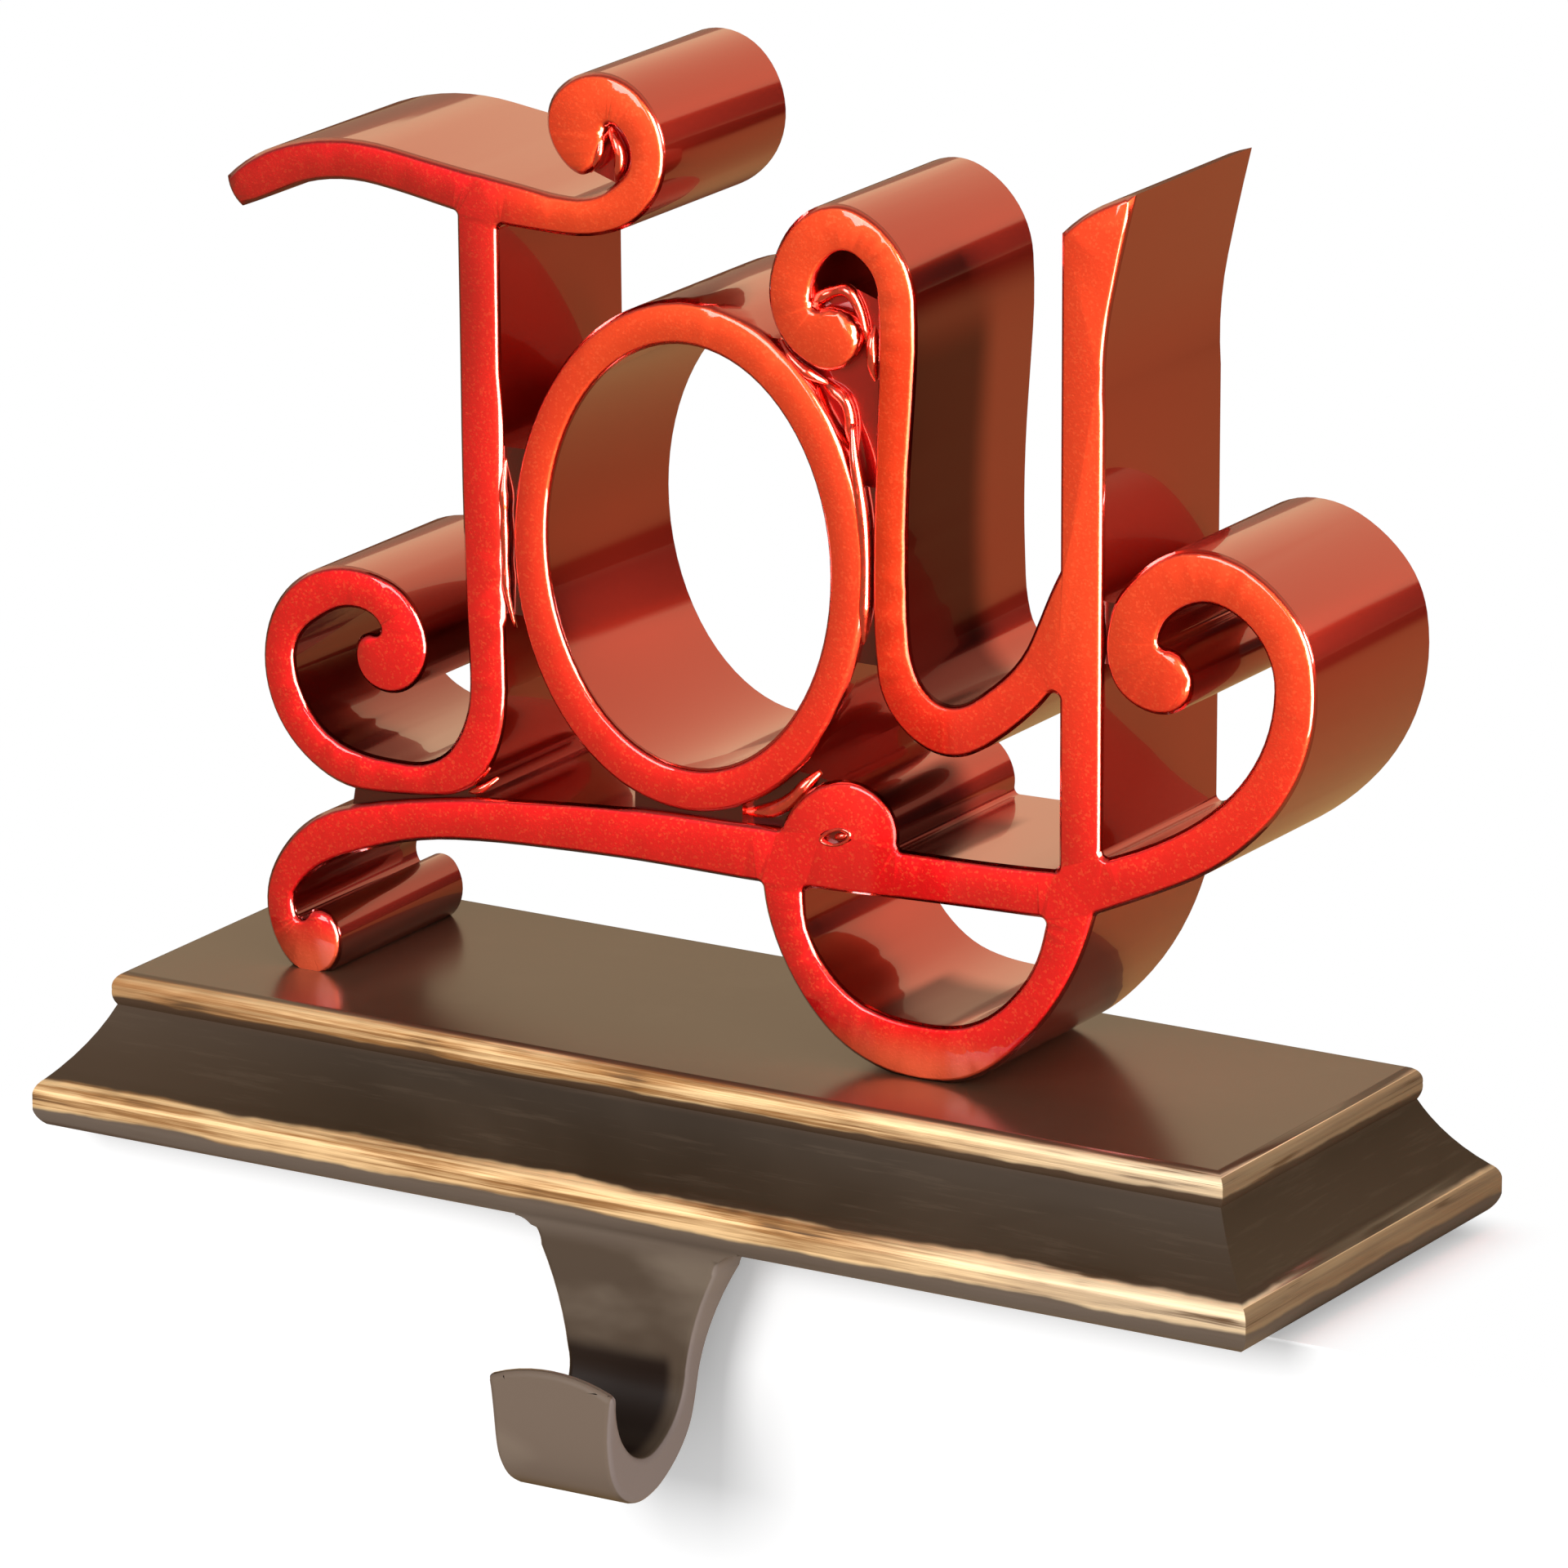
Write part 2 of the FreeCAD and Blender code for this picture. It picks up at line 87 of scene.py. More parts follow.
towards_camera = Vector((
    math.sin(CAMERA_TURN) * math.cos(CAMERA_HEIGHT),
    -math.cos(CAMERA_TURN) * math.cos(CAMERA_HEIGHT),
    math.sin(CAMERA_HEIGHT),
))
camera_right = Vector((math.cos(CAMERA_TURN), math.sin(CAMERA_TURN), 0))
camera_up = towards_camera.cross(camera_right)
camera_place = (
    towards_camera * CAMERA_DISTANCE
    + camera_right * AIM_RIGHT
    + camera_up * AIM_UP
    + Vector((0, 0, PAD_PROUD))
)
camera_data = bpy.data.cameras.new("camera")
camera_data.lens = LENS_MM
camera_data.sensor_width = SENSOR_MM
camera = bpy.data.objects.new("camera", camera_data)
axes = Matrix((camera_right, camera_up, towards_camera)).transposed().to_4x4()
camera.matrix_world = Matrix.Translation(camera_place) @ axes
bpy.context.scene.collection.objects.link(camera)
bpy.context.scene.camera = camera
bpy.context.scene.view_settings.view_transform = "Standard"
print("camera at", [round(value, 3) for value in camera_place])

# %% [markdown]
# ## Helpers for materials
# A material is a small graph. It could be wired node by node, but the same few moves come back
# in each: make a node and fill its inputs, do a sum, step smoothly from nought to one, mix two
# colours. So each move gets a helper. A value is written on a socket, and a socket of another
# node is linked to it.

# %% Make nodes and link them
def new_material(name):
    material = bpy.data.materials.new(name)
    material.use_nodes = True
    material.node_tree.nodes.clear()
    return material, material.node_tree


def add_node(tree, kind, inputs=None, **settings):
    made = tree.nodes.new(kind)
    for key, value in settings.items():
        setattr(made, key, value)
    for key, value in (inputs or {}).items():
        socket = made.inputs[key]
        if isinstance(value, bpy.types.NodeSocket):
            tree.links.new(value, socket)
        else:
            socket.default_value = value
    return made


def finish_material(tree, inputs):
    shader = add_node(tree, "ShaderNodeBsdfPrincipled", inputs)
    add_node(tree, "ShaderNodeOutputMaterial", {"Surface": shader.outputs[0]})


# %% Do sums, steps and mixes
def math_node(tree, operation, first, second=0.0, third=1.0):
    inputs = {0: first, 1: second, 2: third}
    return add_node(tree, "ShaderNodeMath", inputs, operation=operation).outputs[0]


def times(tree, first, second):
    return math_node(tree, "MULTIPLY", first, second)


def ramp(tree, value, low, high, to_low=0.0, to_high=1.0):
    """A smooth step of a value: nought at low, one at high, which may lie below low."""
    return add_node(tree, "ShaderNodeMapRange", {
        "Value": value, "From Min": low, "From Max": high, "To Min": to_low, "To Max": to_high,
    }, interpolation_type="SMOOTHSTEP").outputs["Result"]


def band(tree, value, low, high, soft):
    """One between low and high and nought outside, with soft edges."""
    rise = ramp(tree, value, low - soft, low + soft)
    fall = ramp(tree, value, high - soft, high + soft, 1.0, 0.0)
    return times(tree, rise, fall)


def mix_color(tree, share, first, second):
    """First where the share is nought, second where it is one."""
    inputs = {0: share, 6: first, 7: second}
    return add_node(tree, "ShaderNodeMix", inputs, data_type="RGBA").outputs[2]


# %% Read the shaded point's place and normal
def parts_of(tree, kind):
    """The X, Y and Z sockets of the shaded point's Object place, in metres, or of its Normal."""
    whole = add_node(tree, "ShaderNodeTexCoord").outputs[kind]
    return add_node(tree, "ShaderNodeSeparateXYZ", {0: whole}).outputs


def sideways(tree, normal, axis):
    """How much of the normal lies along one axis, either way."""
    return math_node(tree, "ABSOLUTE", normal[axis])


# %% [markdown]
# ## One grain for every finish
# Enamel clouds, brush strokes, rubber grain and steel marks are all noise that is stretched
# along some axis. Each material could have its own noise nodes, but a node group is built once
# and placed in each, with that material's own scale and detail on its inputs.

# %% Build the shared grain
def grain_nodes():
    """Noise on object coordinates, with its own scale along each axis."""
    group = bpy.data.node_groups.new("stretched_noise", "ShaderNodeTree")
    group.interface.new_socket("Scale", in_out="INPUT", socket_type="NodeSocketVector")
    for name in ("Detail", "Roughness", "Distortion"):
        group.interface.new_socket(name, in_out="INPUT", socket_type="NodeSocketFloat")
    group.interface.new_socket("Fac", in_out="OUTPUT", socket_type="NodeSocketFloat")
    given = add_node(group, "NodeGroupInput").outputs
    place = add_node(group, "ShaderNodeTexCoord").outputs["Object"]
    mapped = add_node(group, "ShaderNodeMapping", {"Vector": place, "Scale": given["Scale"]})
    noise = add_node(group, "ShaderNodeTexNoise", {
        "Vector": mapped.outputs[0], "Scale": 1.0, "Detail": given["Detail"],
        "Roughness": given["Roughness"], "Distortion": given["Distortion"],
    })
    add_node(group, "NodeGroupOutput", {"Fac": noise.outputs["Fac"]})
    return group


grain_group = grain_nodes()
print("shared group:", grain_group.name)


def stretched_noise(tree, scale, detail=3.0, roughness=0.5, distortion=0.0):
    """Place the shared grain in a material, with that material's own values."""
    return add_node(tree, "ShaderNodeGroup", {
        "Scale": scale, "Detail": detail, "Roughness": roughness, "Distortion": distortion,
    }, node_tree=grain_group).outputs["Fac"]


# %% [markdown]
# ## Candy-red enamel
# The real finish is a red lacquer over metal. The sides are poured smooth and mirror the room,
# so they turn terracotta where it is bright and maroon where they face another letter. The
# faces are sprayed with fine flakes, which scatter the light and keep them a strong orange red.
# Two materials with two slots would do, but the rims between face and side are round, and one
# material that blends by the shaded point's normal has no seam there.

# %% Colour the enamel's faces
# The orange red is painted light on the faces above and right; the first letter's deep red is painted
# shade.
CHERRY = (0.82, 0.007, 0.012, 1)
LIT_ORANGE_RED = (0.80, 0.066, 0.017, 1)
CLOUDED_RED = (0.66, 0.012, 0.010, 1)
FLAKE_GLINT = (1.0, 0.20, 0.07, 1)
FOOT_RED = (0.95, 0.14, 0.055, 1)
FIRST_LETTER_SHADE_RED = (0.30, 0.010, 0.010, 1)
PAINTED_LIGHT_HEIGHTS = (45 * MM, 95 * MM)
PAINTED_LIGHT_ACROSS = (-38 * MM, -18 * MM)
FOOT_HEIGHTS = (28 * MM, 22 * MM)
FIRST_LETTER_HEIGHTS = (70 * MM, 120 * MM)
FIRST_LETTER_ACROSS = (-24 * MM, -38 * MM)
CLOUD_GRAIN = (45.0, 45.0, 45.0)
CLOUD_STEP = (0.35, 0.65)
CLOUD_SHARE = 0.25
GLINT_STEP = (0.75, 1.0)
GLINT_SHARE = 0.22
FIRST_LETTER_SHADE_SHARE = 0.50


def face_color(tree, place, flake_tone):
    """Cherry, with painted light turning it orange red above and right, a brighter orange red at the
    feet, clouds, glinting flakes, and painted shade on the first letter's upper left.
    """
    clouds = stretched_noise(tree, CLOUD_GRAIN, detail=2.0)
    # Painted light: the faces turn orange red where the light falls, above and to the right.
    painted_light = times(tree, ramp(tree, place["Z"], *PAINTED_LIGHT_HEIGHTS), ramp(tree, place["X"], *PAINTED_LIGHT_ACROSS))
    painted_lit_red = mix_color(tree, painted_light, CHERRY, LIT_ORANGE_RED)
    clouded = mix_color(tree, ramp(tree, clouds, *CLOUD_STEP, CLOUD_SHARE, 0.0), painted_lit_red, CLOUDED_RED)
    glints = times(tree, ramp(tree, flake_tone, *GLINT_STEP), GLINT_SHARE)
    flecked = mix_color(tree, glints, clouded, FLAKE_GLINT)
    footed = mix_color(tree, ramp(tree, place["Z"], *FOOT_HEIGHTS), flecked, FOOT_RED)
    # Painted shade: the first letter's upper left is darkened towards a deep red.
    upper_left_shade = times(tree, ramp(tree, place["Z"], *FIRST_LETTER_HEIGHTS),
                       ramp(tree, place["X"], *FIRST_LETTER_ACROSS))
    return mix_color(tree, times(tree, upper_left_shade, FIRST_LETTER_SHADE_SHARE), footed, FIRST_LETTER_SHADE_RED)


# %% Colour the webs and the sides, with painted shade
# The webs, the low left sides and the front of the fork's wall are painted shade.
WEB_SHADE_RED = (0.060, 0.003, 0.003, 1)
POCKET_SHADE_RED = (0.26, 0.006, 0.006, 1)
SIDE_RED = (0.42, 0.022, 0.010, 1)
LOW_LEFT_SHADE_RED = (0.24, 0.012, 0.006, 1)
FORK_SHADE_RED = (0.12, 0.004, 0.003, 1)
WEB_DEPTHS = (-11.8 * MM, -11.3 * MM)
POCKET_DEPTHS = (-10.3 * MM, -9.8 * MM)
POCKET_HEIGHTS = (60 * MM, 66 * MM)
LOW_LEFT_ACROSS = (-34 * MM, -40 * MM)
LOW_LEFT_HEIGHTS = (78 * MM, 68 * MM)
FORK_LEFT = (23 * MM, 25 * MM)
FORK_RIGHT = (36 * MM, 34 * MM)
FORK_DEPTHS = (10 * MM, 3 * MM)
FORK_HEIGHTS = (122 * MM, 112 * MM)


def web_shade_color(tree, place):
    """Painted shade on the webs between strokes; a pocket in a scroll gets a lighter painted shade."""
    pocket = times(tree, ramp(tree, place["Y"], *POCKET_DEPTHS),
                   ramp(tree, place["Z"], *POCKET_HEIGHTS))
    return mix_color(tree, pocket, WEB_SHADE_RED, POCKET_SHADE_RED)


def fork_shade_mask(tree, place):
    """One on the front of the wall inside the last letter's fork, where the stem's shade is painted in
    dark red.
    """
    across = times(tree, ramp(tree, place["X"], *FORK_LEFT), ramp(tree, place["X"], *FORK_RIGHT))
    sheltered = times(tree, ramp(tree, place["Y"], *FORK_DEPTHS),
                      ramp(tree, place["Z"], *FORK_HEIGHTS))
    return times(tree, across, sheltered)


def side_color(tree, place, fork_shade):
    """Terracotta sides, with painted shade low at the left and inside the fork."""
    low_left_shade = times(tree, ramp(tree, place["X"], *LOW_LEFT_ACROSS),
                     ramp(tree, place["Z"], *LOW_LEFT_HEIGHTS))
    poured = mix_color(tree, low_left_shade, SIDE_RED, LOW_LEFT_SHADE_RED)
    return mix_color(tree, fork_shade, poured, FORK_SHADE_RED)


# %% Put the red enamel together
FACE_TURN = (0.40, 0.88)
FLAKES_PER_METRE = 3400.0
FLAKE_RELIEF = 0.08 * MM
SIDE_ROUGHNESS = 0.24
FACE_ROUGHNESS = 0.44
FORK_COAT_LOSS = 0.75


def red_enamel():
    material, tree = new_material("red_enamel")
    where = add_node(tree, "ShaderNodeTexCoord").outputs["Object"]
    place = parts_of(tree, "Object")
    face = ramp(tree, sideways(tree, parts_of(tree, "Normal"), "Y"), *FACE_TURN)
    flakes = add_node(tree, "ShaderNodeTexVoronoi", {"Vector": where, "Scale": FLAKES_PER_METRE})
    tones = add_node(tree, "ShaderNodeSeparateColor", {0: flakes.outputs["Color"]}).outputs
    # Painted shade: recessed webs on the faces take the webs' dark red.
    recess = times(tree, face, ramp(tree, place["Y"], *WEB_DEPTHS))
    faced = mix_color(tree, recess, face_color(tree, place, tones[0]), web_shade_color(tree, place))
    fork_shade = fork_shade_mask(tree, place)
    color = mix_color(tree, face, side_color(tree, place, fork_shade), faced)
    relief = add_node(tree, "ShaderNodeBump", {
        "Height": times(tree, tones[1], face), "Strength": 0.30, "Distance": FLAKE_RELIEF,
    })
    finish_material(tree, {
        "Base Color": color, "Metallic": 1.0, "Normal": relief.outputs[0],
        "Roughness": ramp(tree, face, 0.0, 1.0, SIDE_ROUGHNESS, FACE_ROUGHNESS),
        "Coat Weight": math_node(tree, "MULTIPLY_ADD", fork_shade, -FORK_COAT_LOSS),
        "Coat Roughness": 0.04, "Coat IOR": 1.6,
    })
    return material


enamel = red_enamel()
print(enamel.name, "nodes:", len(enamel.node_tree.nodes))

# %% [markdown]
# ## Pooled enamel
# Where two strokes touch, the enamel ran together, thicker, wetter and a little uneven. It
# could be the same material with more bump, but the runs have no flakes and no face or side,
# so a small material of their own is plainer: lumps of noise set colour, gloss and relief.

# %% Make the pooled enamel
POOLED_DARK = (0.62, 0.012, 0.010, 1)
POOLED_LIGHT = (0.95, 0.10, 0.04, 1)
POOLED_GRAIN = (700.0, 700.0, 700.0)
POOLED_RELIEF = 0.4 * MM
POOLED_GLOSS = (0.3, 0.7, 0.34, 0.22)


def pooled_enamel():
    material, tree = new_material("pooled_enamel")
    lumps = stretched_noise(tree, POOLED_GRAIN, detail=1.0)
    tone = mix_color(tree, lumps, POOLED_DARK, POOLED_LIGHT)
    relief = add_node(tree, "ShaderNodeBump", {
        "Height": lumps, "Strength": 0.35, "Distance": POOLED_RELIEF,
    })
    finish_material(tree, {
        "Base Color": tone, "Metallic": 1.0, "Roughness": ramp(tree, lumps, *POOLED_GLOSS),
        "Normal": relief.outputs[0], "Coat Weight": 1.0, "Coat Roughness": 0.06, "Coat IOR": 1.8,
    })
    return material


seam_enamel = pooled_enamel()
print(seam_enamel.name, "nodes:", len(seam_enamel.node_tree.nodes))

# %% [markdown]
# ## Bronze paint
# The base is painted dark brown by hand, a little worn, and greyer near the shelf. The hook's lip
# and sides are paler, it is rubbed paler in clouds where hands wore it, and a painted shadow darkens
# its throat. An image could be painted for this, but the base is swept along straight lines, so the
# height above the shelf already says which moulding a point lies on, and the normal says which side.

# %% Paint the base brown
SLAB_CROWN = 4.4 * MM
SLAB_TOP = 6.9 * MM
QUIRK = 16.4 * MM
BEAD_CROWN = 18.5 * MM
BASE_TOP = 20.8 * MM
COVE_SOFTNESS = 0.8 * MM
GREY_FULL = 0.3 * SLAB_TOP
TOP_BROWN = (0.066, 0.036, 0.020, 1)
COVE_BROWN = (0.028, 0.015, 0.006, 1)
LEFT_COVE_BROWN = (0.060, 0.036, 0.020, 1)
SHELF_GREY = (0.135, 0.100, 0.076, 1)
WORN_BROWN = (0.10, 0.066, 0.042, 1)
WORN_SHARE = 0.4
BRUSHMARK_GRAIN = (60.0, 60.0, 1100.0)
CLOUD_WEAR = (0.35, 0.68, 0.0, 0.7)
BRUSHMARK_WEAR = (0.52, 0.70, 0.0, 0.5)


def brown_paint(tree, height, clouds, left):
    """Brown on the top, darker in the cove, greyer towards the shelf, and worn in clouds."""
    cove = band(tree, height, SLAB_TOP, QUIRK, COVE_SOFTNESS)
    dark = mix_color(tree, cove, TOP_BROWN, mix_color(tree, left, COVE_BROWN, LEFT_COVE_BROWN))
    greyed = mix_color(tree, ramp(tree, height, SLAB_TOP, GREY_FULL), dark, SHELF_GREY)
    brushmarks = stretched_noise(tree, BRUSHMARK_GRAIN, detail=4.0, roughness=0.7)
    brushed = ramp(tree, brushmarks, *BRUSHMARK_WEAR)
    worn = math_node(tree, "ADD", ramp(tree, clouds, *CLOUD_WEAR), brushed)
    return mix_color(tree, worn, greyed, mix_color(tree, WORN_SHARE, greyed, WORN_BROWN))


# %% Paint the hook
SHANK_BROWN = (0.080, 0.054, 0.036, 1)
LIP_BROWN = (0.16, 0.115, 0.085, 1)
FLANK_GREY = (0.22, 0.17, 0.15, 1)
THROAT_SHADOW_BROWN = (0.018, 0.010, 0.007, 1)
HANDLED_BROWN = (0.30, 0.235, 0.175, 1)
LIP_DEPTHS = (-46.5 * MM, -49 * MM)
THROAT_HEIGHTS = (-13.2 * MM, -15.8 * MM)
THROAT_ACROSS = (7.5 * MM, 5.5 * MM)
THROAT_DEPTHS = (-47.5 * MM, -46 * MM)
HANDLED_WEAR = (0.50, 0.66, 0.0, 0.35)


def hook_paint(tree, place, clouds, end):
    """Brown on the shank, paler on the lip and sides, rubbed in clouds, with a painted shadow in the
    throat.
    """
    shank = mix_color(tree, ramp(tree, place["Y"], *LIP_DEPTHS), SHANK_BROWN, LIP_BROWN)
    flanked = mix_color(tree, end, shank, FLANK_GREY)
    # Painted shadow: the lip's shadow on the shank, low in the throat, is painted in dark brown.
    shade = times(tree, ramp(tree, place["Z"], *THROAT_HEIGHTS),
                  ramp(tree, place["X"], *THROAT_ACROSS))
    throat_shadow = times(tree, shade, ramp(tree, place["Y"], *THROAT_DEPTHS))
    hooked = mix_color(tree, throat_shadow, flanked, THROAT_SHADOW_BROWN)
    handled = mix_color(tree, ramp(tree, clouds, *HANDLED_WEAR), hooked, HANDLED_BROWN)
    return mix_color(tree, throat_shadow, handled, hooked)


# %% [markdown]
# ## Dry-brushed gold
# The painter stroked the mouldings with a nearly dry brush of gold, which catches only on the
# bead and on the slab's edge, thinly at the left and thickly at the right. Pointiness could
# find those edges, but it depends on the mesh, so bands of height pick them, and a slow noise
# makes their borders wander. Long thin noise along the shelf makes the strokes.

# %% Brush the gold
STROKE_BROWN = (0.36, 0.17, 0.055, 1)
STROKE_GOLD = (1.0, 0.70, 0.37, 1)
THIN_GOLD = (0.36, 0.17, 0.065, 1)
CREAM_GOLD = (1.0, 0.86, 0.62, 1)
END_BROWN = (0.13, 0.07, 0.03, 1)
THIN_SHARE = 0.65
CREAM_SHARE = 0.5
END_SHARE = 0.70
SHINE_STEP = (0.40, 0.60)
STROKE_SHINE = 0.6
PATCH_SHINE = 0.4
WANDER = 0.9 * MM
WANDER_GRAIN = (70.0, 70.0, 70.0)
SLAB_GOLD = (SLAB_CROWN - 0.9 * MM, SLAB_TOP + 0.1 * MM, 0.3 * MM)
BEAD_GOLD = (BEAD_CROWN - 0.9 * MM, BASE_TOP + 3 * MM, 0.25 * MM)


def raised_mask(tree, height, top):
    """One on the slab's edge and on the bead, with wandering borders, and nought on the top."""
    wander = stretched_noise(tree, WANDER_GRAIN)
    drift = math_node(tree, "MULTIPLY_ADD", wander, 2 * WANDER, -WANDER)
    wavy = math_node(tree, "ADD", height, drift)
    mouldings = math_node(tree, "MAXIMUM", band(tree, wavy, *SLAB_GOLD), band(tree, wavy, *BEAD_GOLD))
    return times(tree, mouldings, ramp(tree, top, 1.0, 0.0))


def gold_color(tree, height, strokes, patches, left, right, end):
    """Brown to gold by strokes, thin at the left of the bead, creamy at the right, browner on the ends.
    """
    shine = math_node(tree, "MULTIPLY_ADD", strokes, STROKE_SHINE, times(tree, patches, PATCH_SHINE))
    gold = mix_color(tree, ramp(tree, shine, *SHINE_STEP), STROKE_BROWN, STROKE_GOLD)
    thin = times(tree, left, ramp(tree, height, SLAB_TOP, QUIRK, 0.0, THIN_SHARE))
    thinned = mix_color(tree, thin, gold, THIN_GOLD)
    creamy = mix_color(tree, times(tree, right, CREAM_SHARE), thinned, CREAM_GOLD)
    return mix_color(tree, times(tree, end, END_SHARE), creamy, END_BROWN)


# %% Put the base's paint together
END_TURN = (0.5, 0.7)
TOP_TURN = (0.80, 0.97)
LEFT_ACROSS = (-30 * MM, -85 * MM)
RIGHT_ACROSS = (20 * MM, 80 * MM)
HOOK_HEIGHTS = (1.0 * MM, -2.0 * MM)
PAINT_GRAIN = (18.0, 18.0, 40.0)
STROKE_GRAIN = (22.0, 22.0, 1700.0)
PATCH_GRAIN = (35.0, 35.0, 260.0)
PATCH_COVER = 0.9
STROKE_COVER = 0.5
COVER_STEP = (0.50, 0.62)
STAIN = (0.13, 0.065, 0.026, 1)
STAIN_SHARE = 0.8
GOLD_METAL = 0.5
BRUSH_RELIEF = 0.3 * MM
PAINT_ROUGHNESS = 0.46
TOP_ROUGHNESS = 0.30
TOP_COAT = 0.42


def bronze_paint():
    material, tree = new_material("bronze_paint")
    place = parts_of(tree, "Object")
    normal = parts_of(tree, "Normal")
    height = place["Z"]
    clouds = stretched_noise(tree, PAINT_GRAIN, detail=4.0, distortion=0.6)
    strokes = stretched_noise(tree, STROKE_GRAIN, detail=5.0, roughness=0.7)
    patches = stretched_noise(tree, PATCH_GRAIN, distortion=0.5)
    left = ramp(tree, place["X"], *LEFT_ACROSS)
    right = ramp(tree, place["X"], *RIGHT_ACROSS)
    end = ramp(tree, sideways(tree, normal, "X"), *END_TURN)
    top = ramp(tree, normal["Z"], *TOP_TURN)
    below = ramp(tree, height, *HOOK_HEIGHTS)
    brown = brown_paint(tree, height, clouds, left)
    painted = mix_color(tree, below, brown, hook_paint(tree, place, clouds, end))
    raised = raised_mask(tree, height, top)
    covered = math_node(tree, "MULTIPLY_ADD", patches, PATCH_COVER, times(tree, strokes, STROKE_COVER))
    brushed = times(tree, raised, ramp(tree, covered, *COVER_STEP))
    stained = mix_color(tree, times(tree, raised, STAIN_SHARE), painted, STAIN)
    gold = gold_color(tree, height, strokes, patches, left, right, end)
    relief = add_node(tree, "ShaderNodeBump", {
        "Height": math_node(tree, "ADD", clouds, times(tree, strokes, raised)),
        "Strength": 0.25, "Distance": BRUSH_RELIEF,
    })
    finish_material(tree, {
        "Base Color": mix_color(tree, brushed, stained, gold), "Normal": relief.outputs[0],
        "Metallic": times(tree, brushed, GOLD_METAL),
        "Roughness": ramp(tree, top, 0.0, 1.0, PAINT_ROUGHNESS, TOP_ROUGHNESS),
        "Specular IOR Level": 0.16, "Coat Weight": times(tree, top, TOP_COAT), "Coat Roughness": 0.20,
    })
    return material


bronze = bronze_paint()
print(bronze.name, "nodes:", len(bronze.node_tree.nodes))

# %% [markdown]
# ## Pad and screws
# Rubber is nearly black and dull, with a fine grain. The plated screws sit out of sight under
# the feet. Both keep their CAD meshes, whose flat pads and turned heads need no rounding, and
# only their slots are given a new material.

# %% Dress the pad and the screws
RUBBER_DARK = (0.012, 0.012, 0.012, 1)
RUBBER_LIGHT = (0.03, 0.03, 0.03, 1)
RUBBER_GRAIN = (1800.0, 1800.0, 1800.0)
RUBBER_RELIEF = 0.2 * MM
STEEL_DARK = (0.45, 0.46, 0.48, 1)
STEEL_LIGHT = (0.62, 0.63, 0.65, 1)
STEEL_GRAIN = (900.0, 900.0, 60.0)
STEEL_GLOSS = (0.3, 0.7, 0.25, 0.4)


def pad_rubber():
    material, tree = new_material("pad_rubber")
    grain = stretched_noise(tree, RUBBER_GRAIN, detail=1.0)
    tone = mix_color(tree, grain, RUBBER_DARK, RUBBER_LIGHT)
    relief = add_node(tree, "ShaderNodeBump", {
        "Height": grain, "Strength": 0.4, "Distance": RUBBER_RELIEF,
    })
    finish_material(tree, {"Base Color": tone, "Roughness": 0.85, "Normal": relief.outputs[0]})
    return material


def screw_steel():
    material, tree = new_material("screw_steel")
    marks = stretched_noise(tree, STEEL_GRAIN, detail=2.0)
    tone = mix_color(tree, marks, STEEL_DARK, STEEL_LIGHT)
    gloss = ramp(tree, marks, *STEEL_GLOSS)
    finish_material(tree, {"Base Color": tone, "Metallic": 1.0, "Roughness": gloss})
    return material


def dress(node_name, material):
    for slot in nodes[node_name].material_slots:
        slot.material = material
    print(node_name, "wears", material.name)


dress("non_slip_pad", pad_rubber())
dress("foot_screws", screw_steel())

# %% [markdown]
# ## The letters
# The letters are one casting with softened rims. The CAD solid has the right shape, but its
# mesh is loose triangles, which can't be shaded smoothly. Remeshing would blunt the rims, so a
# copy is merged instead, the sharp rims at the back are rolled over with a bevel, and weighted
# normals keep the flat faces flat while every rim catches one clean highlight.

# %% Roll over the rims of a merged copy
MERGE_DISTANCE = 0.002 * MM
FLAT_ANGLE = math.radians(0.5)
RIM_ANGLE = math.radians(50)
CREASE_ANGLE = math.radians(58)
NORMAL_WEIGHT = 80


def picked_edges(work, rim):
    return [edge for edge in work.edges if all(rim(vert.co) for vert in edge.verts)]


def roll_rims(work, rim, radius, segments, weld):
    """Roll over the sharp edges that the rule rim picks; weld first joins crowded corners."""
    if weld:
        bmesh.ops.remove_doubles(work, verts=[vert for vert in work.verts if rim(vert.co)], dist=weld)
    flat = picked_edges(work, rim)
    chosen = set(flat)
    corners = [vert for vert in work.verts if not chosen.isdisjoint(vert.link_edges)]
    bmesh.ops.dissolve_limit(work, angle_limit=FLAT_ANGLE, verts=corners, edges=flat)
    sharp = [edge for edge in picked_edges(work, rim)
             if len(edge.link_faces) == 2 and edge.calc_face_angle() > RIM_ANGLE]
    bmesh.ops.bevel(work, geom=sharp, offset=radius, offset_type="OFFSET", segments=segments,
                    profile=0.5, affect="EDGES", material=-1, clamp_overlap=not weld)
    return len(sharp)


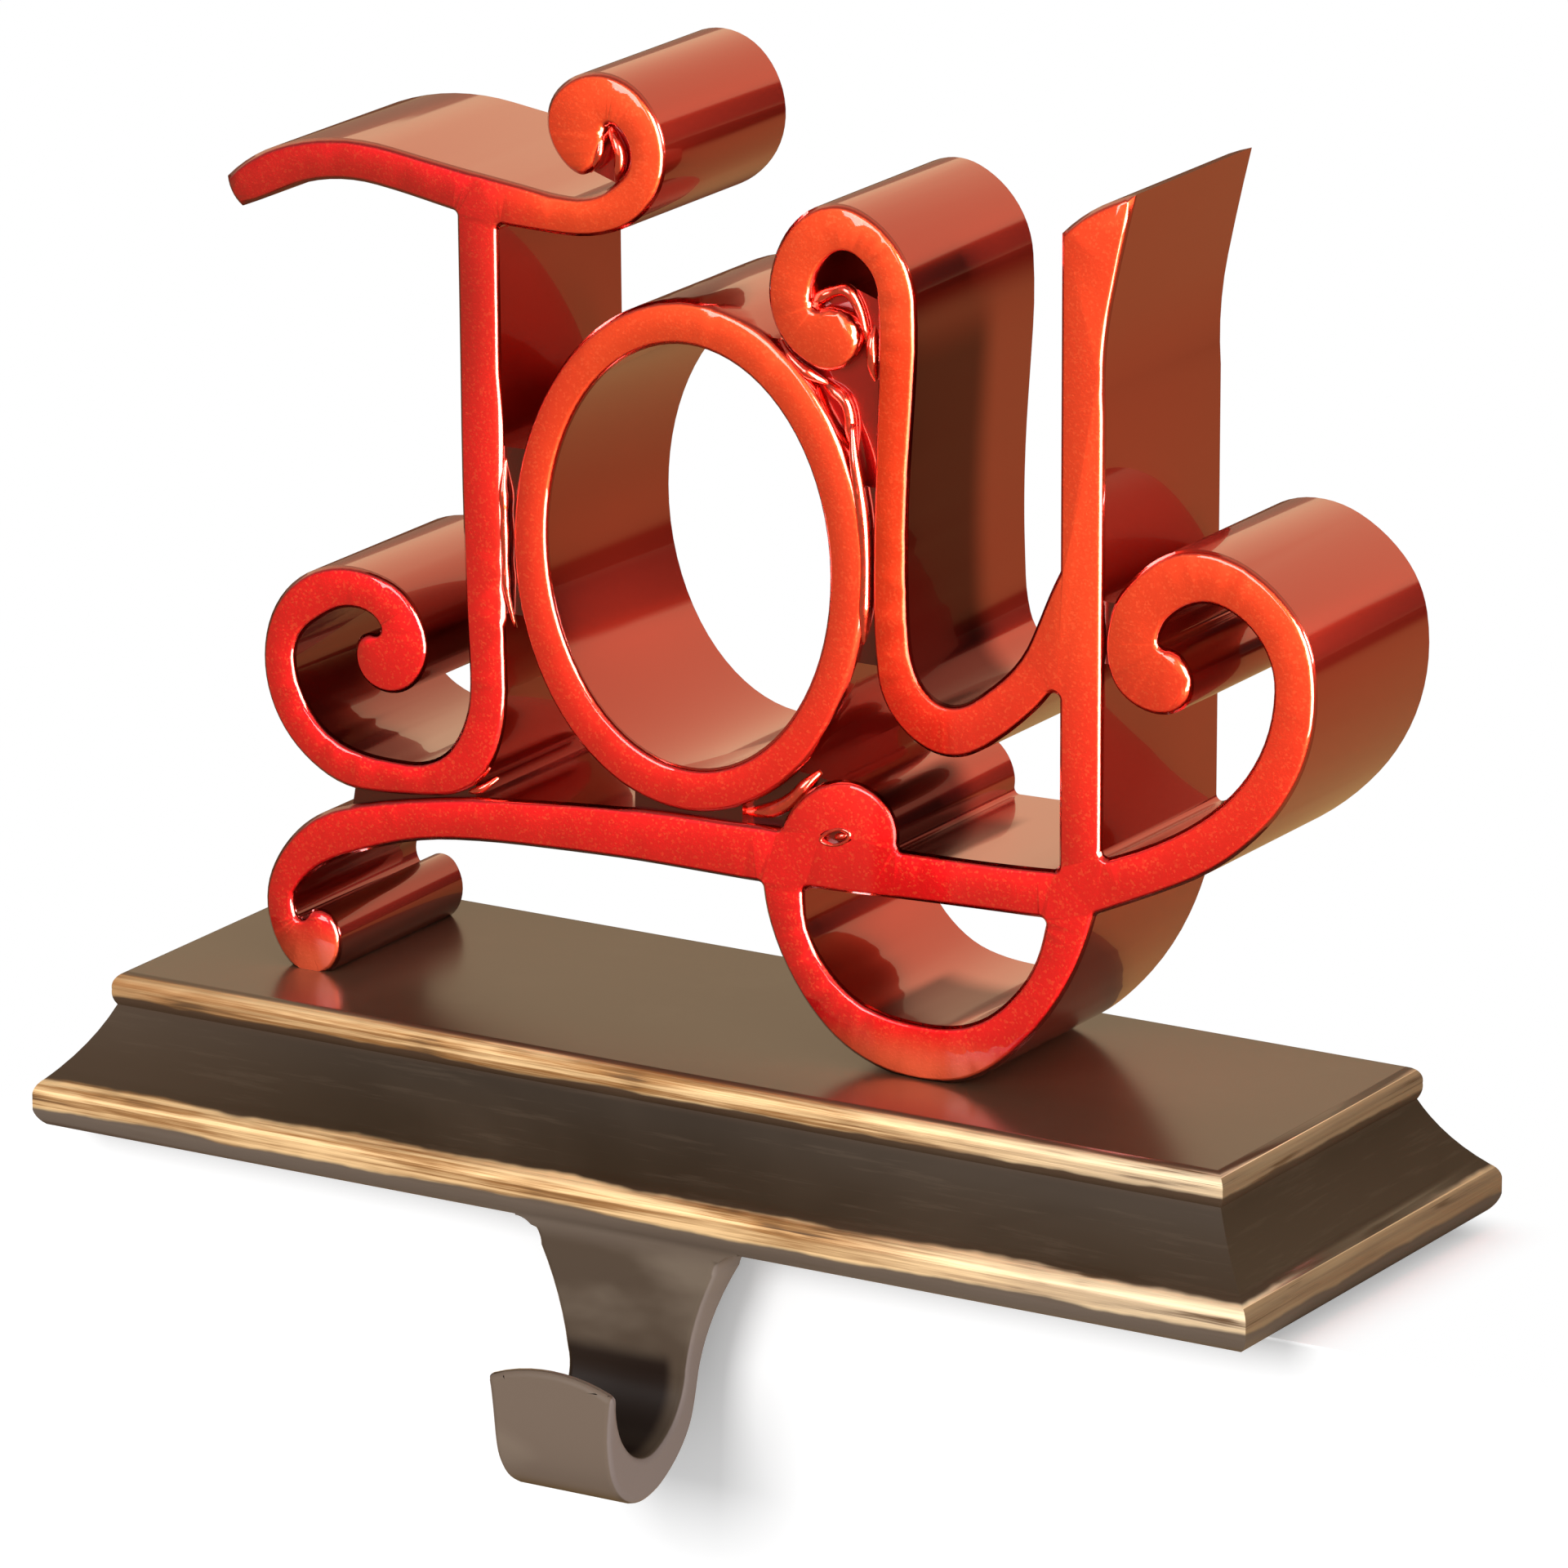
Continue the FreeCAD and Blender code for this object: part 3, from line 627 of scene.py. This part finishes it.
# %% Dress the letters
def merged_copy(node_name, piece_name, rim, radius, segments, weld=0.0):
    """A smooth copy of a CAD node, with the rims that the rule rim picks rolled over."""
    mesh = nodes[node_name].data.copy()
    mesh.name = piece_name
    work = bmesh.new()
    work.from_mesh(mesh)
    bmesh.ops.remove_doubles(work, verts=work.verts, dist=MERGE_DISTANCE)
    rolled = roll_rims(work, rim, radius, segments, weld)
    for face in work.faces:
        face.smooth = True
    open_edges = sum(not edge.is_manifold for edge in work.edges)
    work.to_mesh(mesh)
    work.free()
    if mesh.has_custom_normals:
        mesh.attributes.remove(mesh.attributes["custom_normal"])
    mesh.set_sharp_from_angle(angle=CREASE_ANGLE)
    mesh.materials.clear()
    piece = bpy.data.objects.new(piece_name, mesh)
    bpy.context.scene.collection.objects.link(piece)
    weighting = piece.modifiers.new("weighted normals", "WEIGHTED_NORMAL")
    weighting.keep_sharp = True
    weighting.weight = NORMAL_WEIGHT
    print(piece_name, "rims:", rolled, "open edges:", open_edges, "faces:", len(mesh.polygons))
    return piece


LETTER_BACK = 18 * MM
BACK_RIM_RADIUS = 0.8 * MM


def is_letter_back(place):
    return place.y > LETTER_BACK - 0.01 * MM


letters = merged_copy("word_casting", "scrolled_letters", is_letter_back, BACK_RIM_RADIUS, 2)
letters.data.materials.append(enamel)
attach(letters, "root")
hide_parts("word_casting")

# %% [markdown]
# ## The base and its hook
# The hook is cast with the base, and many hands of paint have softened its edges. The base's own
# mouldings are round already. So the same merged copy rolls over only the edges below the base.
# Where the hook's curves meet, corners crowd together and would stop the bevel, so they are
# welded first.

# %% Soften the hook
HOOK_TOP = -0.4 * MM
HOOK_RIM_RADIUS = 1.0 * MM
CROWDED = 0.45 * MM


def is_hook(place):
    return place.z < HOOK_TOP


base = merged_copy("base_casting", "moulded_base", is_hook, HOOK_RIM_RADIUS, 3, weld=CROWDED)
base.data.materials.append(bronze)
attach(base, "root")
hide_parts("base_casting")

# %% [markdown]
# ## Enamel that ran into the joints
# Where two strokes touch, the enamel ran together and set in beads and little ridges that catch
# the light, and a fine ring of it lies round the small eye in the tail's knob. Bump could only
# hint at them. Each is drawn as a curve with a radius at every point, because a curve's bevel
# is a smooth tube of any thickness, and is then turned into a mesh.

# %% Draw the enamel seams
SEAMS = (
    # depth y, radius, unevenness, whether closed, then points as x and z, in millimetres
    (-11.4, 0.65, 0.5, False, ((-31.2, 93.5), (-31.1, 90.1), (-31.0, 88.2), (-30.9, 86.0),
                               (-30.9, 83.9), (-30.8, 81.7), (-30.8, 79.6), (-30.7, 77.4),
                               (-30.6, 75.3), (-30.0, 71.0))),
    (-11.3, 0.80, 0.2, False, ((19.8, 104.5), (20.6, 101.0), (21.4, 97.0), (22.1, 92.6), (22.4, 88.4),
                               (22.4, 84.1), (22.2, 79.9), (21.6, 76.0))),
    (-9.7, 0.85, 0.2, False, ((11.5, 117.0), (13.6, 118.8), (15.3, 120.3), (16.9, 121.1), (18.8, 121.6),
                              (20.0, 120.3), (20.8, 118.6), (21.3, 116.5), (21.6, 114.0))),
    (-9.8, 0.80, 0.5, False, ((22.4, 117.6), (22.5, 116.0), (22.4, 114.6), (22.6, 113.2), (22.4, 111.8),
                              (22.6, 109.8))),
    (-11.0, 0.75, 0.4, False, ((9.2, 114.0), (10.8, 112.5), (12.7, 111.1), (14.0, 110.3),
                               (16.0, 109.2))),
    (-9.8, 0.90, 0.1, False, ((14.0, 109.9), (16.5, 108.6), (18.6, 107.4), (19.3, 105.5), (19.4, 103.0),
                              (19.8, 99.0))),
    (-10.0, 0.90, 0.3, False, ((14.6, 58.2), (13.1, 56.6), (11.6, 54.8), (9.7, 53.2), (6.9, 51.9),
                               (3.0, 51.2))),
    (-10.8, 0.60, 0.3, False, ((-38.0, 47.8), (-36.4, 48.3), (-34.5, 49.1), (-33.0, 50.5))),
    (-11.4, 0.55, 0.1, False, ((-18.4, 132.2), (-16.9, 133.9), (-16.2, 135.8), (-16.8, 139.5))),
    (-10.0, 0.80, 0.2, False, ((-16.8, 139.0), (-14.9, 136.6), (-14.0, 134.6), (-14.5, 132.2),
                               (-15.4, 130.9))),
    (-12.0, 0.22, 0.1, True, ((16.0, 50.2), (17.2, 51.3), (18.6, 52.0), (19.8, 52.1), (20.7, 51.7),
                              (20.2, 50.6), (18.6, 49.8), (17.0, 49.7))),
    (-11.7, 0.75, 0.1, False, ((17.7, 50.6), (18.9, 50.9), (20.0, 51.2))),
)
END_SINK = 1.0
END_SHARE_OF_RADIUS = 0.4
TUBE_ROUNDNESS = 4
TUBE_STEPS = 8
SMOOTH_ORDER = 3
SEAM_SEED = 7


def shape_run(spline, depth, radius, unevenness, closed, points):
    """Place the points of one run; its ends thin out and sink into the casting."""
    spline.points.add(len(points) - 1)
    for index, (x, z) in enumerate(points):
        share = 1 + unevenness * random.uniform(-1, 1)
        sink = 0.0
        if not closed and index in (0, len(points) - 1):
            share = END_SHARE_OF_RADIUS
            sink = END_SINK
        spline.points[index].co = (x * MM, (depth + sink) * MM, z * MM, 1)
        spline.points[index].radius = radius * share * MM
    spline.order_u = SMOOTH_ORDER
    spline.use_cyclic_u = closed
    spline.use_endpoint_u = not closed


def enamel_tube(run):
    """The mesh of one uneven run of enamel."""
    curve = bpy.data.curves.new("seam", "CURVE")
    curve.dimensions = "3D"
    curve.bevel_depth = 1.0
    curve.bevel_resolution = TUBE_ROUNDNESS
    curve.resolution_u = TUBE_STEPS
    curve.use_fill_caps = True
    shape_run(curve.splines.new("NURBS"), *run)
    holder = bpy.data.objects.new("seam", curve)
    bpy.context.scene.collection.objects.link(holder)
    mesh = bpy.data.meshes.new_from_object(holder)
    bpy.data.objects.remove(holder)
    bpy.data.curves.remove(curve)
    return mesh


# %% Join the seams into one piece
random.seed(SEAM_SEED)
work = bmesh.new()
for run in SEAMS:
    tube = enamel_tube(run)
    work.from_mesh(tube)
    bpy.data.meshes.remove(tube)
bmesh.ops.remove_doubles(work, verts=work.verts, dist=MERGE_DISTANCE)
bmesh.ops.recalc_face_normals(work, faces=work.faces)
for face in work.faces:
    face.smooth = True
seam_mesh = bpy.data.meshes.new("enamel_seams")
work.to_mesh(seam_mesh)
work.free()
seams = bpy.data.objects.new("enamel_seams", seam_mesh)
bpy.context.scene.collection.objects.link(seams)
seams.data.materials.append(seam_enamel)
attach(seams, "root")
print("runs:", len(SEAMS), "faces:", len(seam_mesh.polygons))

# %% [markdown]
# ## The shelf
# The holder stands on a white shelf, and its hook hangs in front of the shelf's edge. A plain
# white box would do, but it would be grey beside the white room. So it glows a little for the
# camera alone: its front keeps the soft shadow of the base and hook, and its top keeps one
# beside the base's right end. In the holder's reflections it is a warm table top instead.

# %% Mix white paper
FRONT_HEIGHTS = (-0.1 * MM, -0.6 * MM)
FRONT_GLOW = 0.24
FRONT_WHITE = 0.88
END_GLOW = 0.30
END_WHITE = 0.97
HALF_BASE = 90 * MM
BASE_BACK = 34 * MM
END_SHADOW = 11 * MM
TABLE_SHADE = (0.26, 0.11, 0.055, 1)
TABLE_GOLD = (0.80, 0.49, 0.20, 1)
TABLE_FAR = (0.10, 0.03, 0.02, 1)
GOLD_ACROSS = (-0.14, 0.0)
FAR_ACROSS = (-0.30, -0.15)
FAR_DEPTHS = (0.42, 0.60)
BOUNCED_WHITE = (0.60, 0.60, 0.60, 1)


def end_shadow_mask(tree, place):
    """One at the foot of the base's right end, fading out over END_SHADOW."""
    across = times(tree, ramp(tree, place["X"], HALF_BASE - END_SHADOW, HALF_BASE),
                   ramp(tree, place["X"], HALF_BASE + END_SHADOW, HALF_BASE))
    return times(tree, across, ramp(tree, place["Y"], BASE_BACK, BASE_BACK - END_SHADOW))


def table_color(tree, place):
    """What the letters mirror: gold at the right, shaded at the left, dark far behind."""
    near_side = mix_color(tree, ramp(tree, place["X"], *GOLD_ACROSS), TABLE_SHADE, TABLE_GOLD)
    far = times(tree, ramp(tree, place["Y"], *FAR_DEPTHS), ramp(tree, place["X"], *FAR_ACROSS))
    return mix_color(tree, far, near_side, TABLE_FAR)


def white_paper():
    material, tree = new_material("white_paper")
    rays = add_node(tree, "ShaderNodeLightPath").outputs
    place = parts_of(tree, "Object")
    front = ramp(tree, place["Z"], *FRONT_HEIGHTS)
    beside = end_shadow_mask(tree, place)
    white = ramp(tree, front, 0.0, 1.0, times(tree, beside, END_WHITE), FRONT_WHITE)
    top_glow = math_node(tree, "MULTIPLY_ADD", beside, END_GLOW - 1.0)
    glow = ramp(tree, front, 0.0, 1.0, top_glow, FRONT_GLOW)
    paper = add_node(tree, "ShaderNodeCombineColor", {0: white, 1: white, 2: white}).outputs[0]
    mirrored = mix_color(tree, rays["Is Glossy Ray"], BOUNCED_WHITE, table_color(tree, place))
    tone = mix_color(tree, rays["Is Camera Ray"], mirrored, paper)
    matt = add_node(tree, "ShaderNodeBsdfDiffuse", {"Color": tone})
    shine = add_node(tree, "ShaderNodeEmission", {
        "Color": (1, 1, 1, 1), "Strength": times(tree, rays["Is Camera Ray"], glow),
    })
    both = add_node(tree, "ShaderNodeAddShader", {0: matt.outputs[0], 1: shine.outputs[0]})
    add_node(tree, "ShaderNodeOutputMaterial", {"Surface": both.outputs[0]})
    return material


# %% Build the shelf
SHELF_FRONT = -23.5 * MM
SHELF_BACK = 1.6
SHELF_WIDTH = 5.0
SHELF_DROP = 1.2

shelf_mesh = bpy.data.meshes.new("shelf")
work = bmesh.new()
bmesh.ops.create_cube(work, size=1.0)
bmesh.ops.scale(work, vec=(SHELF_WIDTH, SHELF_BACK - SHELF_FRONT, SHELF_DROP), verts=work.verts)
bmesh.ops.translate(work, vec=(0, (SHELF_BACK + SHELF_FRONT) / 2, -SHELF_DROP / 2), verts=work.verts)
work.to_mesh(shelf_mesh)
work.free()
shelf = bpy.data.objects.new("shelf", shelf_mesh)
shelf.data.materials.append(white_paper())
bpy.context.scene.collection.objects.link(shelf)
print("shelf:", [round(size, 3) for size in shelf.dimensions])

# %% [markdown]
# ## The room
# Polished enamel shows its surroundings, so the room matters as much as the lamps. A real room
# could be modelled, but its reflections only need a few soft areas. The world gives them by
# direction: bright and warm behind the holder, dimmer in front, with a dark skirting low at the
# right. The camera sees plain white.

# %% Light the room
FRONT_WALL = (0.30, 0.28, 0.26, 1)
BACK_WALL = (1.10, 0.80, 0.49, 1)
LEFT_SKIRTING = (0.34, 0.20, 0.13, 1)
RIGHT_SKIRTING = (0.07, 0.05, 0.04, 1)
FLOOR = (0.42, 0.28, 0.15, 1)
ROOM_GREY = (0.5, 0.5, 0.5, 1)
BACKWARD = (-0.2, 0.5)
RIGHTWARD = (-0.20, 0.10)
DOWNWARD = (0.0, -0.1)
SKIRTING_TOP = (0.20, 0.25)
SKIRTING_WAVE = 0.08
BLOTS_ROUND = 7.0

world = bpy.data.worlds.new("white_room")
bpy.context.scene.world = world
world.use_nodes = True
room = world.node_tree
room.nodes.clear()
rays = add_node(room, "ShaderNodeLightPath").outputs
look = add_node(room, "ShaderNodeTexCoord").outputs["Generated"]
heading = add_node(room, "ShaderNodeSeparateXYZ", {0: look}).outputs
walls = mix_color(room, ramp(room, heading["Y"], *BACKWARD), FRONT_WALL, BACK_WALL)
blots = add_node(room, "ShaderNodeTexNoise", {"Vector": look, "Scale": BLOTS_ROUND, "Detail": 2.0})
wave = math_node(room, "MULTIPLY_ADD", blots.outputs["Fac"], 2 * SKIRTING_WAVE, -SKIRTING_WAVE)
upward = ramp(room, math_node(room, "ADD", heading["Z"], wave), *SKIRTING_TOP)
skirting = mix_color(room, ramp(room, heading["X"], *RIGHTWARD), LEFT_SKIRTING, RIGHT_SKIRTING)
above = mix_color(room, upward, skirting, walls)
mirrored = mix_color(room, ramp(room, heading["Z"], *DOWNWARD), above, FLOOR)
lit = mix_color(room, rays["Is Glossy Ray"], ROOM_GREY, mirrored)
shown = mix_color(room, rays["Is Camera Ray"], lit, (1, 1, 1, 1))
sky = add_node(room, "ShaderNodeBackground", {"Color": shown, "Strength": 1.0})
add_node(room, "ShaderNodeOutputWorld", {"Surface": sky.outputs[0]})
print("room nodes:", len(room.nodes))

# %% [markdown]
# ## The lights
# One tall softbox at the right draws the thin white line down every rounded rim that faces it.
# One at the back right brightens the rims of the sides, and a wide one at the front left lights
# the faces and throws the hook's shadow. The strong ones would wash out the brown base and the
# white shelf, so light linking lets them shine on the enamel alone.

# %% Hang the softboxes
MIDDLE = Vector((0, 0, 60 * MM))


def softbox(name, place, width, height, radiance, tint=(1, 1, 1)):
    """A rectangular lamp that points at the holder's middle."""
    data = bpy.data.lights.new(name, "AREA")
    data.shape = "RECTANGLE"
    data.size = width
    data.size_y = height
    data.energy = radiance * math.pi * width * height
    data.color = tint
    lamp = bpy.data.objects.new(name, data)
    lamp.location = place
    lamp.rotation_euler = (Vector(place) - MIDDLE).to_track_quat("Z", "Y").to_euler()
    bpy.context.scene.collection.objects.link(lamp)
    return lamp


def light_only(lamp, pieces):
    group = bpy.data.collections.new(lamp.name + "_lights")
    for piece in pieces:
        group.objects.link(piece)
    lamp.light_linking.receiver_collection = group
    print(lamp.name, "lights", [piece.name for piece in pieces])


RIGHT = (1.0, -0.62, 0.15)
BACK_RIGHT = (1.10, 0.58, 0.35)
FRONT_LEFT = (-0.25, -1.1, 0.45)
CANDLE_TINT = (1.0, 0.90, 0.76)

rim_box = softbox("rim_box", RIGHT, 1.1, 1.4, 22.0, CANDLE_TINT)
base_box = softbox("base_box", RIGHT, 0.7, 1.4, 3.0)
back_right_box = softbox("back_right_box", BACK_RIGHT, 0.45, 0.45, 30.0)
softbox("face_box", FRONT_LEFT, 0.6, 0.6, 7.6)
light_only(rim_box, [letters, seams])
light_only(back_right_box, [letters, seams])
light_only(base_box, [base])
